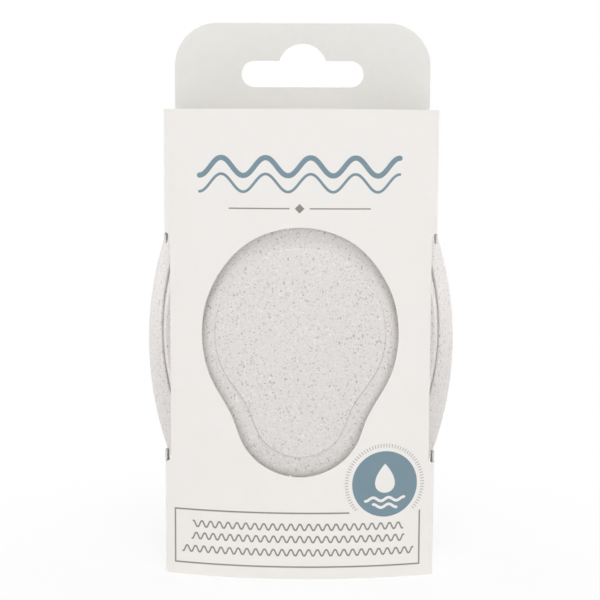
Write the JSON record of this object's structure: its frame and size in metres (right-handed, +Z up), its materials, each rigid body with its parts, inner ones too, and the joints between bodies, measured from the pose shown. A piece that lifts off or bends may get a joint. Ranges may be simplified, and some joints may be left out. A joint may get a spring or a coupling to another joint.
{
  "type": "travel soap box in card sleeve",
  "caption": "Oval travel soap box with lift-off lid and drain tray, held in a folded card sleeve with a pear-shaped window, side slots and a hanging tab.",
  "frame": {"origin": "centre of the bounding box at its lowest face, where the sleeve's low edges stand", "axes": "+Z up towards the hanging tab, -Y out of the window, +X to the right as the window is looked at"},
  "size_m": [0.0838, 0.0364, 0.149],
  "materials": {
    "plastic": "fine speckled satin",
    "card": "matt coated white"
  },
  "bodies": {
    "back": {"sleeve_back": "card"},
    "flap": {"sleeve_flap_high": "card", "sleeve_flap_low": "card"},
    "left": {"sleeve_left_high": "card", "sleeve_left_low": "card"},
    "front": {"sleeve_front": "card"},
    "right": {"sleeve_right_high": "card", "sleeve_right_low": "card"},
    "base": {"base_shell": "plastic"},
    "tray": {"drain_tray": "plastic"},
    "lid": {"lid_shell": "plastic"}
  },
  "joints": [
    {"name": "left_rear_crease", "type": "hinge", "parent": "back", "child": "left", "pos_m": [-0.036, 0.01825, 0.062], "axis": [0, 0, -1], "range_deg": [0, 90]},
    {"name": "left_front_crease", "type": "hinge", "parent": "left", "child": "front", "pos_m": [-0.036, -0.01275, 0.062], "axis": [0, 0, -1], "range_deg": [0, 90]},
    {"name": "right_front_crease", "type": "hinge", "parent": "front", "child": "right", "pos_m": [0.036, -0.01275, 0.062], "axis": [0, 0, -1], "range_deg": [0, 90]},
    {"name": "glue_flap_crease", "type": "hinge", "parent": "back", "child": "flap", "pos_m": [0.0354, 0.01825, 0.062], "axis": [0, 0, 1], "range_deg": [0, 90]},
    {"name": "box_out", "type": "slide", "parent": "back", "child": "base", "axis": [0, -1, 0], "range_m": [0, 0.0095]},
    {"name": "tray_lift", "type": "slide", "parent": "base", "child": "tray", "axis": [0, -1, 0], "range_m": [0, 0.0284]},
    {"name": "lid_lift", "type": "slide", "parent": "base", "child": "lid", "axis": [0, -1, 0], "range_m": [0, 0.0345]}
  ],
  "couplings": [
    {"joint": "left_rear_crease", "follows": "lid_lift", "rad_per_m": 45.45},
    {"joint": "left_front_crease", "follows": "lid_lift", "rad_per_m": 45.45},
    {"joint": "right_front_crease", "follows": "lid_lift", "rad_per_m": 45.45},
    {"joint": "glue_flap_crease", "follows": "lid_lift", "rad_per_m": 45.45},
    {"joint": "box_out", "follows": "lid_lift", "ratio": 0.2727},
    {"joint": "tray_lift", "follows": "lid_lift", "ratio": 0.8182}
  ]
}
